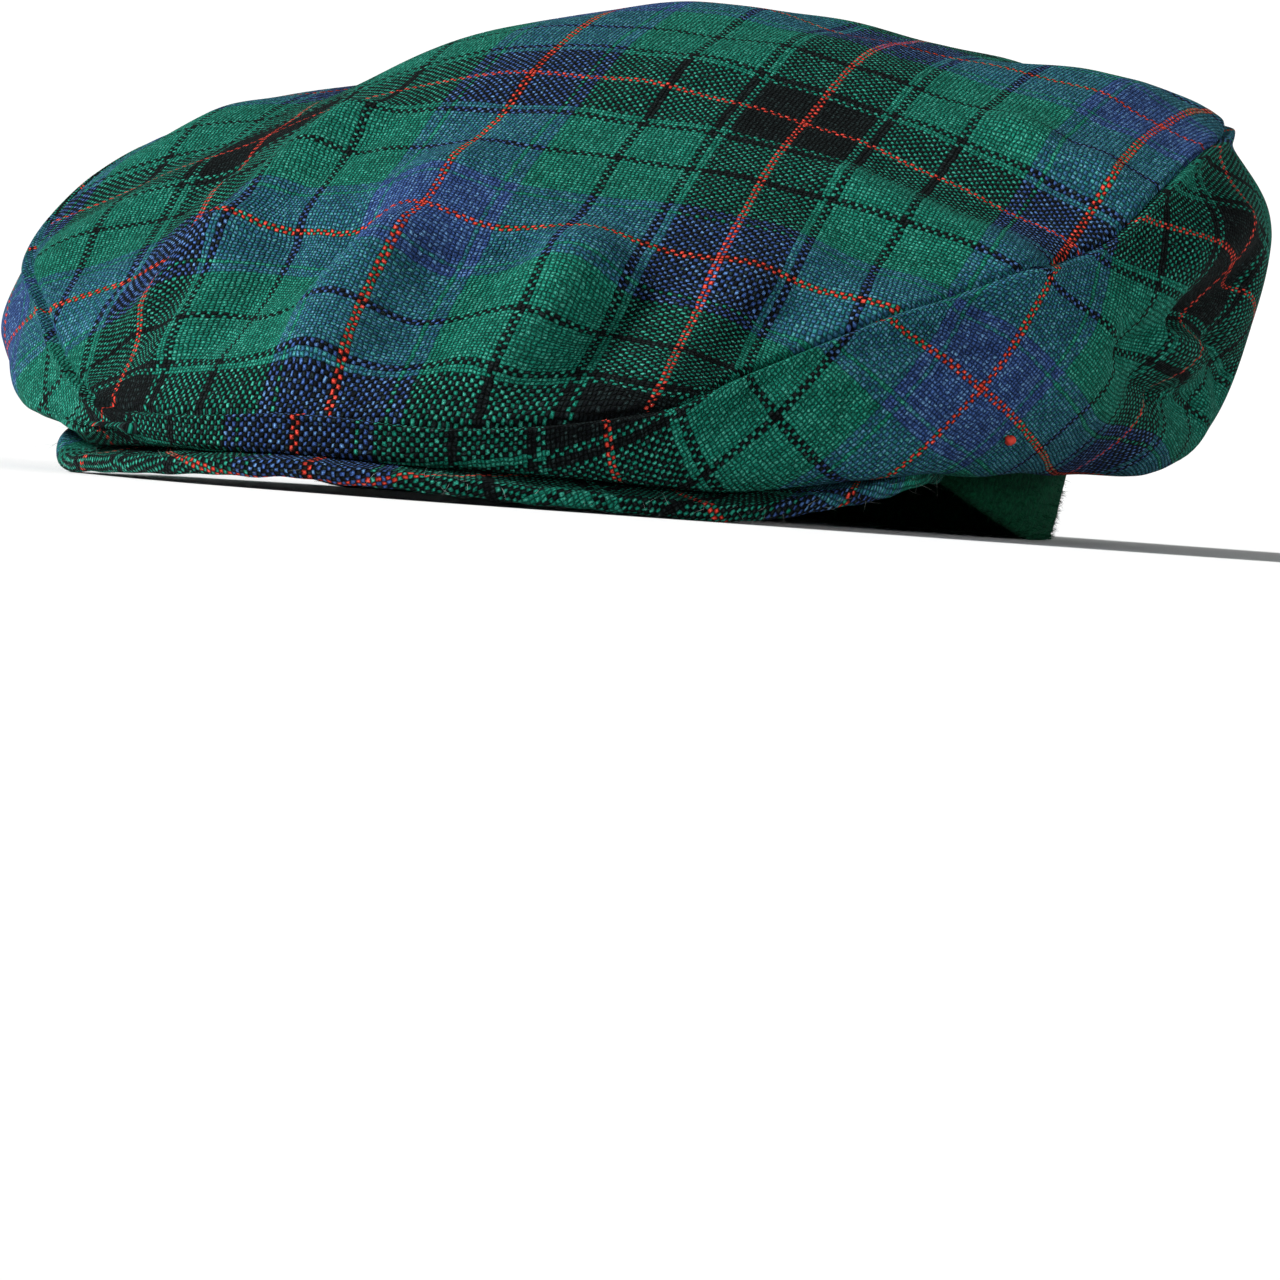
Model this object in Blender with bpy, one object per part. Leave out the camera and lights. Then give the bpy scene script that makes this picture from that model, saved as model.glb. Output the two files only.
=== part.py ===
"""A flat cap: a soft crown of two cloth panels, a short stiff peak and a fleece ear band.

Metres, +Z up. The cap rests on the plane Z = 0, on the low points of its peak and the foot of its ear band.
The peak points along -Y and the wearer's left is +X. The origin is on that plane, under the middle of the cap.
Meshes are worked out about the middle of the head opening, and each object's location carries it to its place.
"""
import bmesh
import bpy
import numpy as np

# Crown
CROWN_HALF_WIDTH = 0.127
CROWN_HALF_LENGTH = 0.1365
CROWN_FORWARD = 0.0155
CAP_HEIGHT = 0.1055
CLOTH = 0.0015
RIGHT_DROP = 0.012
RIGHT_SWELL = 0.005
SEAM_SWELL_SHARE = 0.6
FOLD_DEPTH = 0.005

# Head opening
HEAD_HALF_WIDTH = 0.078
HEAD_HALF_LENGTH = 0.098

# Peak
PEAK_HALF_WIDTH = 0.090
PEAK_REACH = 0.159
PEAK_THICKNESS = 0.0035
PEAK_END_LIFT = 0.0105
PEAK_ARCH = 0.006
PEAK_CUP = 1.3
FOOT_SET_BACK = 0.0065

# Ear band
BAND_THICKNESS = 0.0025
BAND_HEIGHT = 0.023
BAND_FLARE = 0.004
BAND_SWEEP = 35.0

# Clearance between sewn pieces, and how finely the round forms are divided
SEAM_GAP = 0.0003
BESIDE_PEAK_DEGREES = 3.0
STATIONS = 96
PEAK_STATIONS = 41
BAND_STATIONS = 49

# The peak's lower edge from its front to its ends: shares of the half width, the reach and the end lift
PEAK_EDGE = np.array([
    # across  ahead  lift
    [0.000, 1.000, 0.22],
    [0.278, 0.970, 0.14],
    [0.633, 0.820, 0.03],
    [0.811, 0.711, 0.00],
    [0.933, 0.597, 0.33],
    [0.989, 0.503, 0.62],
    [1.000, 0.409, 0.90],
    [0.956, 0.302, 0.97],
    [0.878, 0.189, 1.00],
])

# Crown sections by plan angle in degrees from the front, about the middle of the head opening. "out" columns are
# shares of the base ellipse's radius at that angle. seam_up is a share of the rise from the rim to the cap's
# height, belly_up and turn_up are shares of the side panel's own height there. to_band slides the rim from the
# peak's top, 0, to the band's outer face, 1, where rim_up is its share of the band's height. The last two columns
# are shares of RIGHT_DROP and RIGHT_SWELL, for the wearer's right side alone.
SECTIONS = np.array([
    # angle seam_out seam_up belly_out belly_up turn_out turn_up to_band rim_up drop  swell
    [0,     0.993,  0.057,  1.000,    0.64,    1.000,   0.27,   0.0,    0.74,  0.00, 0.00],
    [12,    0.980,  0.061,  0.987,    0.67,    0.987,   0.33,   0.0,    0.74,  0.12, 0.00],
    [25,    0.932,  0.133,  0.942,    0.63,    0.932,   0.24,   0.0,    0.74,  0.50, 0.00],
    [33,    0.907,  0.236,  0.927,    0.64,    0.907,   0.20,   0.0,    0.74,  0.83, 0.15],
    [45,    0.899,  0.330,  0.928,    0.58,    0.892,   0.06,   0.0,    0.74,  1.00, 0.45],
    [57,    0.922,  0.396,  0.952,    0.54,    0.864,   -0.04,  0.2,    0.74,  0.83, 0.70],
    [70,    0.925,  0.480,  0.970,    0.54,    0.834,   -0.07,  1.0,    0.74,  0.67, 1.00],
    [80,    0.916,  0.600,  0.980,    0.60,    0.815,   -0.04,  1.0,    0.74,  0.67, 1.00],
    [92,    0.915,  0.700,  0.990,    0.66,    0.851,   -0.02,  1.0,    0.78,  0.67, 0.70],
    [110,   0.914,  0.750,  1.003,    0.66,    0.897,   0.02,   1.0,    0.83,  0.50, 0.30],
    [130,   0.917,  0.776,  1.005,    0.62,    0.917,   0.02,   1.0,    0.87,  0.25, 0.00],
    [155,   0.919,  0.784,  0.996,    0.54,    0.919,   -0.01,  1.0,    0.91,  0.00, 0.00],
    [180,   0.926,  0.793,  1.000,    0.50,    0.926,   -0.01,  1.0,    0.91,  0.00, 0.00],
])

# The top panel's middle line, front to back: share of its length, share of the rise from its edge to the height
DOME = np.array([
    # along  rise
    [0.000, 0.000],
    [0.008, 0.022],
    [0.027, 0.103],
    [0.053, 0.179],
    [0.095, 0.248],
    [0.148, 0.289],
    [0.213, 0.326],
    [0.270, 0.392],
    [0.327, 0.481],
    [0.384, 0.592],
    [0.441, 0.696],
    [0.498, 0.786],
    [0.555, 0.880],
    [0.612, 0.960],
    [0.688, 1.000],
    [0.783, 0.860],
    [0.878, 0.600],
    [0.947, 0.340],
    [1.000, 0.000],
])
DOME_POWER = 1.8

# Folds and dents, each along a segment. across, along and up are shares of the crown's half width and half length
# from its middle and of the cap's height; width is a share of the half width, and rise, out or in, of FOLD_DEPTH.
FOLDS = np.array([
    # across along up    to: across along up  width  rise
    [-0.66, -0.11, 0.76,  -0.57, 0.26, 0.85,   0.17,  -1.1],
    [-0.46, -0.03, 0.83,  -0.31, 0.19, 0.92,   0.16,  -0.4],
    [-0.79, -0.11, 0.70,  -0.78, 0.08, 0.73,   0.09,   0.4],
    [-0.32, -0.35, 0.71,  -0.39, -0.60, 0.46,  0.07,   0.5],
    [-0.39, -0.60, 0.46,  -0.46, -0.70, 0.30,  0.07,   0.5],
    [-0.55, -0.36, 0.61,  -0.71, -0.49, 0.42,  0.09,  -0.6],
    [-0.20, -0.87, 0.28,  -0.15, -0.67, 0.49,  0.07,  -0.5],
    [-0.03, -0.90, 0.29,  -0.03, -0.56, 0.60,  0.08,   0.7],
    [0.09, -0.89, 0.29,   0.12, -0.71, 0.48,   0.07,  -0.4],
    [0.20, -0.85, 0.28,   0.24, -0.69, 0.45,   0.09,   0.4],
    [0.31, -0.82, 0.27,   0.33, -0.74, 0.36,   0.07,  -0.3],
    [0.55, -0.36, 0.64,   0.83, -0.36, 0.50,   0.07,   0.4],
    [0.68, -0.07, 0.77,   0.89, -0.08, 0.65,   0.07,   0.3],
    [0.77, -0.03, 0.76,   0.76, 0.38, 0.86,    0.07,   0.4],
    [0.68, 0.30, 0.92,    0.74, 0.44, 0.90,    0.12,   1.2],
    [0.28, 0.26, 0.97,    0.47, 0.26, 0.95,    0.17,  -0.3],
    [0.98, 0.05, 0.52,    0.94, 0.33, 0.66,    0.16,   0.5],
    [0.95, -0.16, 0.39,   0.97, 0.18, 0.50,    0.06,  -0.7],
    [0.96, 0.05, 0.44,    0.91, 0.33, 0.33,    0.06,  -0.5],
    [0.95, -0.05, 0.38,   0.94, 0.14, 0.36,    0.06,   0.5],
    [0.94, -0.08, 0.31,   0.90, 0.25, 0.28,    0.06,  -0.5],
    [0.86, 0.07, 0.19,    0.85, 0.29, 0.23,    0.08,   0.5],
])

# How far down the side panel, seam to rim, and out along the top panel, middle to seam, the faces are divided
SIDE_SHARES = np.array([0.0, 0.06, 0.13, 0.21, 0.29, 0.37, 0.46, 0.55, 0.64, 0.73, 0.81, 0.88, 0.94, 1.0])
TOP_SHARES = np.array([0.0, 0.16, 0.31, 0.45, 0.58, 0.69, 0.78, 0.85, 0.90, 0.94, 0.97, 1.0])
RING_SHARES = np.array([0.0, 0.35, 0.8, 1.0])
SEAM_BLEND_SHARE = 0.12


def through(places, values, query, free_end=False):
    """A smooth curve through a table's rows, level at its ends, or running on at the last row with free_end."""
    slopes = np.zeros_like(values)
    slopes[1:-1] = (values[2:] - values[:-2]) / (places[2:] - places[:-2])
    if free_end:
        slopes[-1] = (values[-1] - values[-2]) / (places[-1] - places[-2])
    k = np.clip(np.searchsorted(places, query, side="right") - 1, 0, len(places) - 2)
    span = places[k + 1] - places[k]
    t = np.clip((query - places[k]) / span, 0, 1)
    return ((2 * t**3 - 3 * t**2 + 1) * values[k] + (t**3 - 2 * t**2 + t) * span * slopes[k]
            + (3 * t**2 - 2 * t**3) * values[k + 1] + (t**3 - t**2) * span * slopes[k + 1])


def ellipse_radius(angle, half_width, half_length, forward=0.0):
    """Distance at a plan angle from the opening's middle to an ellipse whose own middle lies forward of it."""
    a = (np.sin(angle) / half_width)**2 + (np.cos(angle) / half_length)**2
    b = np.cos(angle) * forward / half_length**2
    c = (forward / half_length)**2 - 1
    return (b + np.sqrt(b**2 - a * c)) / a


EDGE_ANGLES = np.arctan2(PEAK_EDGE[:, 0] * PEAK_HALF_WIDTH, PEAK_EDGE[:, 1] * PEAK_REACH)
EDGE_RADII = np.hypot(PEAK_EDGE[:, 0] * PEAK_HALF_WIDTH, PEAK_EDGE[:, 1] * PEAK_REACH)
PEAK_END = EDGE_ANGLES[-1]


def peak_edge(angle):
    """Radius and height of the peak's lower edge at a plan angle."""
    angle = np.minimum(np.abs(angle), PEAK_END)
    radius = through(EDGE_ANGLES, EDGE_RADII, angle, free_end=True)
    return radius, through(EDGE_ANGLES, PEAK_EDGE[:, 2] * PEAK_END_LIFT, angle)


def peak_under(angle, radius):
    """Height of the peak's underside: it rises from the edge to the head opening, most at the front."""
    edge_radius, edge_height = peak_edge(angle)
    inner_radius = ellipse_radius(angle, HEAD_HALF_WIDTH, HEAD_HALF_LENGTH)
    share = np.clip((edge_radius - radius) / (edge_radius - inner_radius), 0, 1)
    arch = PEAK_ARCH * np.cos(np.pi / 2 * np.minimum(np.abs(angle) / PEAK_END, 1))**2
    return edge_height + (PEAK_END_LIFT + arch - edge_height) * share**PEAK_CUP


def outward(points):
    """The crown's general outward direction, the same for both panels where they meet."""
    middle = np.array([0.0, -CROWN_FORWARD, 0.3 * CAP_HEIGHT])
    spread = np.array([CROWN_HALF_WIDTH, CROWN_HALF_LENGTH, 0.7 * CAP_HEIGHT])
    direction = (points - middle) / spread**2
    return direction / np.linalg.norm(direction, axis=-1, keepdims=True)


def folded(points):
    """Points of a panel moved out or in by every fold, by a bell curve of their distance from its segment."""
    middle = np.array([0.0, -CROWN_FORWARD, 0.0])
    scale = np.array([CROWN_HALF_WIDTH, CROWN_HALF_LENGTH, CAP_HEIGHT])
    shift = np.zeros(points.shape[:-1])
    for row in FOLDS:
        start = middle + row[0:3] * scale
        run = row[3:6] * scale + middle - start
        share = np.clip((points - start) @ run / (run @ run), 0, 1)
        distance = np.linalg.norm(points - start - share[..., None] * run, axis=-1)
        shift += row[7] * FOLD_DEPTH * np.exp(-(distance / (row[6] * CROWN_HALF_WIDTH))**2)
    return points + shift[..., None] * outward(points)


def band_outer(angle, height):
    """Radius of the band's outer face, which leans out from its foot to its top."""
    out = BAND_THICKNESS + BAND_FLARE * height / BAND_HEIGHT
    return ellipse_radius(angle, HEAD_HALF_WIDTH + out, HEAD_HALF_LENGTH + out)


def crown_rings(angle):
    """Radius and height of the seam, belly, turn and rim at plan angles, wearer's left positive."""
    column = [through(SECTIONS[:, 0], SECTIONS[:, i], np.degrees(np.abs(angle))) for i in range(1, 11)]
    seam_out, seam_up, belly_out, belly_up, turn_out, turn_up, to_band, rim_up, drop, swell = column
    base = ellipse_radius(angle, CROWN_HALF_WIDTH, CROWN_HALF_LENGTH, CROWN_FORWARD)
    right = 1 / (1 + np.exp(np.degrees(angle) / 4))
    drop = drop * right * RIGHT_DROP
    swell = swell * right * RIGHT_SWELL
    on_peak = peak_edge(angle)[0] - FOOT_SET_BACK
    on_band = band_outer(angle, rim_up * BAND_HEIGHT) + SEAM_GAP
    rim_radius = on_peak + (on_band - on_peak) * to_band
    peak_top = peak_under(angle, on_peak) + PEAK_THICKNESS + SEAM_GAP
    rim_height = peak_top + (rim_up * BAND_HEIGHT - peak_top) * to_band
    seam_height = rim_height + (CAP_HEIGHT - rim_height) * seam_up
    rise = seam_height - rim_height
    upper_swell = swell * SEAM_SWELL_SHARE
    radii = [seam_out * base + upper_swell, belly_out * base + upper_swell, turn_out * base + swell, rim_radius]
    heights = [seam_height - drop, rim_height + belly_up * rise - drop, rim_height + turn_up * rise, rim_height]
    return np.array(radii), np.array(heights)


def at_angle(angle, radius, height):
    return np.stack([radius * np.sin(angle), -radius * np.cos(angle), height], axis=-1)


def side_surface(angle, down):
    """The side panel's outer face: a smooth curve down each section's rings, from the seam to the rim."""
    values = at_angle(angle, *crown_rings(angle))
    slopes = np.empty_like(values)
    slopes[1:-1] = (values[2:] - values[:-2]) / (RING_SHARES[2:] - RING_SHARES[:-2])[:, None, None]
    slopes[0] = (values[1] - values[0]) / (RING_SHARES[1] - RING_SHARES[0])
    slopes[-1] = (values[-1] - values[-2]) / (RING_SHARES[-1] - RING_SHARES[-2])
    k = np.clip(np.searchsorted(RING_SHARES, down, side="right") - 1, 0, len(RING_SHARES) - 2)
    span = (RING_SHARES[k + 1] - RING_SHARES[k])[:, None, None]
    t = (down - RING_SHARES[k])[:, None, None] / span
    rows = ((2 * t**3 - 3 * t**2 + 1) * values[k] + (t**3 - 2 * t**2 + t) * span * slopes[k]
            + (3 * t**2 - 2 * t**3) * values[k + 1] + (t**3 - t**2) * span * slopes[k + 1])
    return folded(rows)


def top_surface(angle, out):
    """The top panel's outer face: its edge is the seam, and it rises from both edges to the dome's middle line."""
    seam_radius, seam_height = (ring[0] for ring in crown_rings(angle))
    edge = at_angle(angle, seam_radius, seam_height)
    points = out[:, None, None] * edge
    x, y = points[..., 0], points[..., 1]
    front, back = edge[:, 1].min(), edge[:, 1].max()
    edges = {}
    for side in (1, -1):
        half = np.linspace(0, np.pi, 361) * side
        radius, height = (ring[0] for ring in crown_rings(half))
        line = at_angle(half, radius, height)
        order = np.argsort(line[:, 1])
        edges[side] = (np.interp(y, line[order, 1], np.abs(line[order, 0])),
                       np.interp(y, line[order, 1], line[order, 2]))
    rise = through(DOME[:, 0], DOME[:, 1], (y - front) / (back - front))
    middle_height = edges[1][1] + rise * (CAP_HEIGHT - edges[1][1])
    reach = np.where(x >= 0, edges[1][0], edges[-1][0])
    edge_height = np.where(x >= 0, edges[1][1], edges[-1][1])
    share = np.clip(np.abs(x) / np.maximum(reach, SEAM_GAP), 0, 1)
    points[..., 2] = edge_height + (middle_height - edge_height) * (1 - share**DOME_POWER)
    return folded(points)


def normals(grid):
    """Unit normals of a grid of rows by stations, closed around its stations."""
    around = np.roll(grid, -1, axis=1) - np.roll(grid, 1, axis=1)
    across = np.gradient(grid, axis=0)
    normal = np.cross(across, around)
    return normal / np.maximum(np.linalg.norm(normal, axis=-1, keepdims=True), 1e-12)


def cloth_inside(grid, normal, seam_share):
    """The inner face of a panel: one cloth thickness in, along its normals, and along outward() at the seam."""
    direction = normal + (outward(grid) - normal) * seam_share[:, None, None]
    direction /= np.linalg.norm(direction, axis=-1, keepdims=True)
    return grid - CLOTH * direction


def short_of_seam(rows):
    """Rows from the seam inwards, with the first drawn half a gap along the panel."""
    step = rows[1] - rows[0]
    rows[0] += step / np.linalg.norm(step, axis=-1, keepdims=True) * SEAM_GAP / 2
    return rows


def clear_of_peak_and_band(points):
    """Points of the side panel lifted onto the peak's top, and kept outside the band, by the seam gap."""
    x, y = points[..., 0], points[..., 1]
    angle, radius = np.arctan2(x, -y), np.hypot(x, y)
    over_peak = ((np.abs(angle) < PEAK_END + np.radians(BESIDE_PEAK_DEGREES))
                 & (radius < peak_edge(angle)[0] + SEAM_GAP))
    top = peak_under(angle, radius) + PEAK_THICKNESS + SEAM_GAP
    height = np.where(over_peak, np.maximum(points[..., 2], top), points[..., 2])
    band = band_outer(angle, np.minimum(height, BAND_HEIGHT)) + SEAM_GAP
    push = np.maximum(1, band / radius)
    return np.stack([x * push, y * push, height], axis=-1)


def cloth_material(name, colour, roughness):
    material = bpy.data.materials.new(name)
    material.use_nodes = True
    shader = material.node_tree.nodes["Principled BSDF"]
    shader.inputs["Base Color"].default_value = (*colour, 1.0)
    shader.inputs["Roughness"].default_value = roughness
    shader.inputs["Metallic"].default_value = 0.0
    return material


def loft(name, outlines, material, round_closed=False, outline_closed=True):
    """A closed solid through outlines, an array of stations by points. Its end outlines are capped, unless the
    stations close in a ring. An outline that isn't closed starts and ends on the ring's axis."""
    stations, count = outlines.shape[:2]
    i = np.arange(stations if round_closed else stations - 1)[:, None]
    j = np.arange(count if outline_closed else count - 1)[None, :]
    ahead, beside = (i + 1) % stations, (j + 1) % count
    quads = np.stack([i * count + j, i * count + beside, ahead * count + beside, ahead * count + j], axis=-1)
    faces = quads.reshape(-1, 4).tolist()
    if not round_closed:
        faces.append(list(range(count))[::-1])
        faces.append(list(range((stations - 1) * count, stations * count)))
    mesh = bpy.data.meshes.new(name)
    mesh.from_pydata(outlines.reshape(-1, 3).tolist(), [], faces)
    shaped = bmesh.new()
    shaped.from_mesh(mesh)
    bmesh.ops.remove_doubles(shaped, verts=shaped.verts, dist=SEAM_GAP / 100)
    bmesh.ops.recalc_face_normals(shaped, faces=shaped.faces)
    shaped.to_mesh(mesh)
    shaped.free()
    mesh.shade_smooth()
    mesh.set_sharp_from_angle(angle=np.radians(40))
    mesh.materials.append(material)
    piece = bpy.data.objects.new(name, mesh)
    piece.location = PLACE
    cap.objects.link(piece)
    return piece


def build_crown(angle, tartan):
    """Both panels: outer and inner faces from the same sections, parted by a gap along their shared seam."""
    side = side_surface(angle, SIDE_SHARES)
    blend = np.clip(1 - SIDE_SHARES / SEAM_BLEND_SHARE, 0, 1)
    inside = short_of_seam(cloth_inside(side, normals(side), blend))
    side = clear_of_peak_and_band(short_of_seam(side))
    inside = clear_of_peak_and_band(inside)
    outlines = np.concatenate([side, inside[::-1]]).transpose(1, 0, 2)
    loft("crown_side", outlines, tartan, round_closed=True)

    top = top_surface(angle, TOP_SHARES)
    normal = normals(top)
    normal[0] = outward(top[:1])
    blend = np.clip(1 - (1 - TOP_SHARES) / SEAM_BLEND_SHARE, 0, 1)
    inside = cloth_inside(top, normal, blend)
    top = short_of_seam(top[::-1])[::-1]
    inside = short_of_seam(inside[::-1])[::-1]
    outlines = np.concatenate([top, inside[::-1]]).transpose(1, 0, 2)
    loft("crown_top", outlines, tartan, round_closed=True, outline_closed=False)


def build_peak(tartan):
    """A stiff cupped crescent with a round outer edge, from the head opening out to PEAK_EDGE."""
    angle = np.linspace(-PEAK_END, PEAK_END, PEAK_STATIONS)
    edge_radius = peak_edge(angle)[0]
    half = PEAK_THICKNESS / 2
    inner_radius = ellipse_radius(angle, HEAD_HALF_WIDTH, HEAD_HALF_LENGTH)
    outline = []
    for share in (0.0, 0.3, 0.6, 0.85):
        radius = inner_radius + (edge_radius - half - inner_radius) * share
        outline.append(at_angle(angle, radius, peak_under(angle, radius)))
    for turn in np.radians([-90, -45, 0, 45, 90]):
        radius = edge_radius - half + half * np.cos(turn)
        height = peak_under(angle, edge_radius - half) + half + half * np.sin(turn)
        outline.append(at_angle(angle, radius, height))
    for under in outline[3::-1]:
        outline.append(under + np.array([0.0, 0.0, PEAK_THICKNESS]))
    loft("peak", np.array(outline).transpose(1, 0, 2), tartan)


def build_band(fleece):
    """An upright strip round the sides and back of the head opening, its foot swept up to the peak's ends."""
    start = PEAK_END + SEAM_GAP / HEAD_HALF_WIDTH
    angle = np.linspace(start, 2 * np.pi - start, BAND_STATIONS)
    from_end = np.degrees(np.minimum(angle, 2 * np.pi - angle) - start)
    foot = PEAK_END_LIFT * np.clip(1 - from_end / BAND_SWEEP, 0, 1)**1.5
    top = np.full_like(angle, BAND_HEIGHT)
    corners = [(band_outer(angle, foot) - BAND_THICKNESS, foot), (band_outer(angle, foot), foot),
               (band_outer(angle, top), top), (band_outer(angle, top) - BAND_THICKNESS, top)]
    outline = [at_angle(angle, radius, height) for radius, height in corners]
    loft("ear_band", np.array(outline).transpose(1, 0, 2), fleece)


for old in list(bpy.data.objects):
    bpy.data.objects.remove(old)
cap = bpy.data.collections.new("flat_cap")
bpy.context.scene.collection.children.link(cap)
back_reach = CROWN_HALF_LENGTH - CROWN_FORWARD
PLACE = (0.0, (PEAK_REACH - back_reach) / 2, 0.0)
tartan = cloth_material("tartan_cloth", (0.03, 0.16, 0.14), 0.9)
fleece = cloth_material("green_fleece", (0.0, 0.07, 0.03), 1.0)
around = np.linspace(-np.pi, np.pi, STATIONS, endpoint=False)
build_crown(around, tartan)
build_peak(tartan)
build_band(fleece)
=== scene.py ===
"""A tartan flat cap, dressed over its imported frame.

Metres, +Z up, peak along -Y, the wearer's left at +X. Shapes are worked out about the middle of the head
opening and set down at PLACE. The floor is the plane Z = 0.
"""
import bpy
import numpy as np
from mathutils import Matrix, Vector


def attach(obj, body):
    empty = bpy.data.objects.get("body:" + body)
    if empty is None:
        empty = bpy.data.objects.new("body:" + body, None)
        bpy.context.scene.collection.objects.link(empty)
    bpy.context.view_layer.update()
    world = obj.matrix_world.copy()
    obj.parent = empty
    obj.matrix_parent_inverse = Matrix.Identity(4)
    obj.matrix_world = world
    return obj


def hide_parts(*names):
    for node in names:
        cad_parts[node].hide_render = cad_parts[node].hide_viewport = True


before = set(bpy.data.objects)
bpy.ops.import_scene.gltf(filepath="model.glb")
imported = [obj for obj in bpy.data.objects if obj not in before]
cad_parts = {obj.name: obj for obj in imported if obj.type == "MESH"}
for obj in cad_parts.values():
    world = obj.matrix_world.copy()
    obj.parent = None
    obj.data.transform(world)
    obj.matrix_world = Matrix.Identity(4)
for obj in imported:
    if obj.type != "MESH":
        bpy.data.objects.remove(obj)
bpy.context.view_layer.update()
scene = bpy.context.scene

# Camera
# A long lens 1.8 m away, 25 degrees round from the front towards the wearer's left, just above the floor and
# tilted a little. It looks past the cap, which so stands in the upper third of a square picture.
PLACE = np.array([0.0, 0.019, 0.0])
SEEN = Vector((0.0, 0.019, 0.0431))
PICTURE_WIDTH, SEEN_ACROSS, SEEN_DOWN = 1280.0, 656.0, 300.0
PIXELS_PER_METRE, CAMERA_DISTANCE = 4900.0, 1.8
azimuth, elevation, roll = np.radians([25.0, -0.9, -4.2])
level_reach, height = np.cos(elevation), np.sin(elevation)
away = Vector((np.sin(azimuth) * level_reach, -np.cos(azimuth) * level_reach, height))
level = Vector((np.cos(azimuth), np.sin(azimuth), 0.0))
upright = away.cross(level)
right = level * np.cos(roll) - upright * np.sin(roll)
up = upright * np.cos(roll) + level * np.sin(roll)
focal = PIXELS_PER_METRE * CAMERA_DISTANCE
aside, above = PICTURE_WIDTH / 2 - SEEN_ACROSS, PICTURE_WIDTH / 2 - SEEN_DOWN
ahead = (-away * focal + right * aside - up * above).normalized()
right = ahead.cross(up).normalized()
up = right.cross(ahead)
camera_data = bpy.data.cameras.new("camera")
camera_data.sensor_width = 36.0
camera_data.lens = 36.0 * focal / PICTURE_WIDTH
camera_data.clip_start, camera_data.clip_end = 0.01, 50.0
camera = bpy.data.objects.new("camera", camera_data)
scene.collection.objects.link(camera)
turned = Matrix((right, up, -ahead)).transposed().to_4x4()
camera.matrix_world = Matrix.Translation(SEEN + away * CAMERA_DISTANCE) @ turned
scene.camera = camera


# Floor
# A pale, even studio floor of matt paper, round and 14 m in reach. It lies flat for 5 m and sweeps up
# beyond, far behind every camera, so that no edge of it is seen.
def add_node(tree, kind, sockets=(), **settings):
    """A new node's outputs. Its settings are set, and its inputs, by name or number, are set or linked."""
    made = tree.nodes.new("ShaderNode" + kind)
    for key, value in settings.items():
        setattr(made, key, value)
    for key, value in dict(sockets).items():
        if isinstance(value, bpy.types.NodeSocket):
            tree.links.new(value, made.inputs[key])
        else:
            made.inputs[key].default_value = value
    return made.outputs


def new_material(name, **sockets):
    """A material with one Principled shader whose sockets are set by name, with _ for a space."""
    material = bpy.data.materials.new(name)
    material.use_nodes = True
    shader = material.node_tree.nodes["Principled BSDF"]
    for key, value in sockets.items():
        shader.inputs[key.replace("_", " ")].default_value = value
    return material, material.node_tree, shader


def piece_from_grid(name, points, faces, material, corners=None, uv=None):
    """A mesh of points and faces. uv holds cloth coordinates, and corners the uv row of each face corner."""
    mesh = bpy.data.meshes.new(name)
    mesh.from_pydata(points.reshape(-1, 3).tolist(), [], faces)
    if uv is not None:
        layer = mesh.uv_layers.new(name="cloth")
        layer.data.foreach_set("uv", uv.reshape(-1, 2)[corners].astype(np.float32).ravel())
    mesh.shade_smooth()
    mesh.materials.append(material)
    made = bpy.data.objects.new(name, mesh)
    scene.collection.objects.link(made)
    return made


FLOOR_SPOKES = 96
turn = np.linspace(0, 2 * np.pi, FLOOR_SPOKES + 1)[:-1]
reach = np.array([0.5, 1.5, 3.0, 5.0, 6.5, 8.0, 9.5, 11.0, 12.5, 14.0])[:, None]
rise = np.repeat(2.2 * np.clip((reach - 5.0) / 9.0, 0, 1)**1.5, FLOOR_SPOKES, axis=1)
rings = np.stack([reach * np.cos(turn), reach * np.sin(turn), rise], axis=-1)
floor_points = np.concatenate([[[0.0, 0.0, 0.0]], rings.reshape(-1, 3)])
ring, spoke = np.meshgrid(np.arange(len(reach) - 1), np.arange(FLOOR_SPOKES), indexing="ij")
near, beside = 1 + ring * FLOOR_SPOKES + spoke, (spoke + 1) % FLOOR_SPOKES - spoke
far = near + FLOOR_SPOKES
floor_faces = [[0, 1 + k, 1 + (k + 1) % FLOOR_SPOKES] for k in range(FLOOR_SPOKES)]
floor_faces += np.stack([near, far, far + beside, near + beside], axis=-1).reshape(-1, 4).tolist()
paper, paper_tree, paper_shader = new_material("pale_studio_paper", Base_Color=(0.86, 0.86, 0.86, 1),
                                               Roughness=0.9)
grain = add_node(paper_tree, "TexNoise", {"Scale": 900.0, "Detail": 2.0})
dimple = add_node(paper_tree, "Bump", {"Strength": 0.05, "Distance": 0.0002, "Height": grain["Fac"]})
paper_tree.links.new(dimple["Normal"], paper_shader.inputs["Normal"])
piece_from_grid("studio_floor", floor_points, floor_faces, paper)


# Light
# Plain soft studio light: a broad lamp over the cap's front right, a weaker and lower one at its left, and
# an even sky, with no hard shadow.
def soft_lamp(name, place, spread, strength):
    """A distant lamp that shines from place towards the cap, spread degrees broad."""
    lamp = bpy.data.lights.new(name, "SUN")
    lamp.angle, lamp.energy = np.radians(spread), strength
    made = bpy.data.objects.new(name, lamp)
    scene.collection.objects.link(made)
    made.location = place
    made.rotation_mode = "QUATERNION"
    made.rotation_quaternion = (Vector(place) - SEEN).to_track_quat("Z", "Y")


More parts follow.
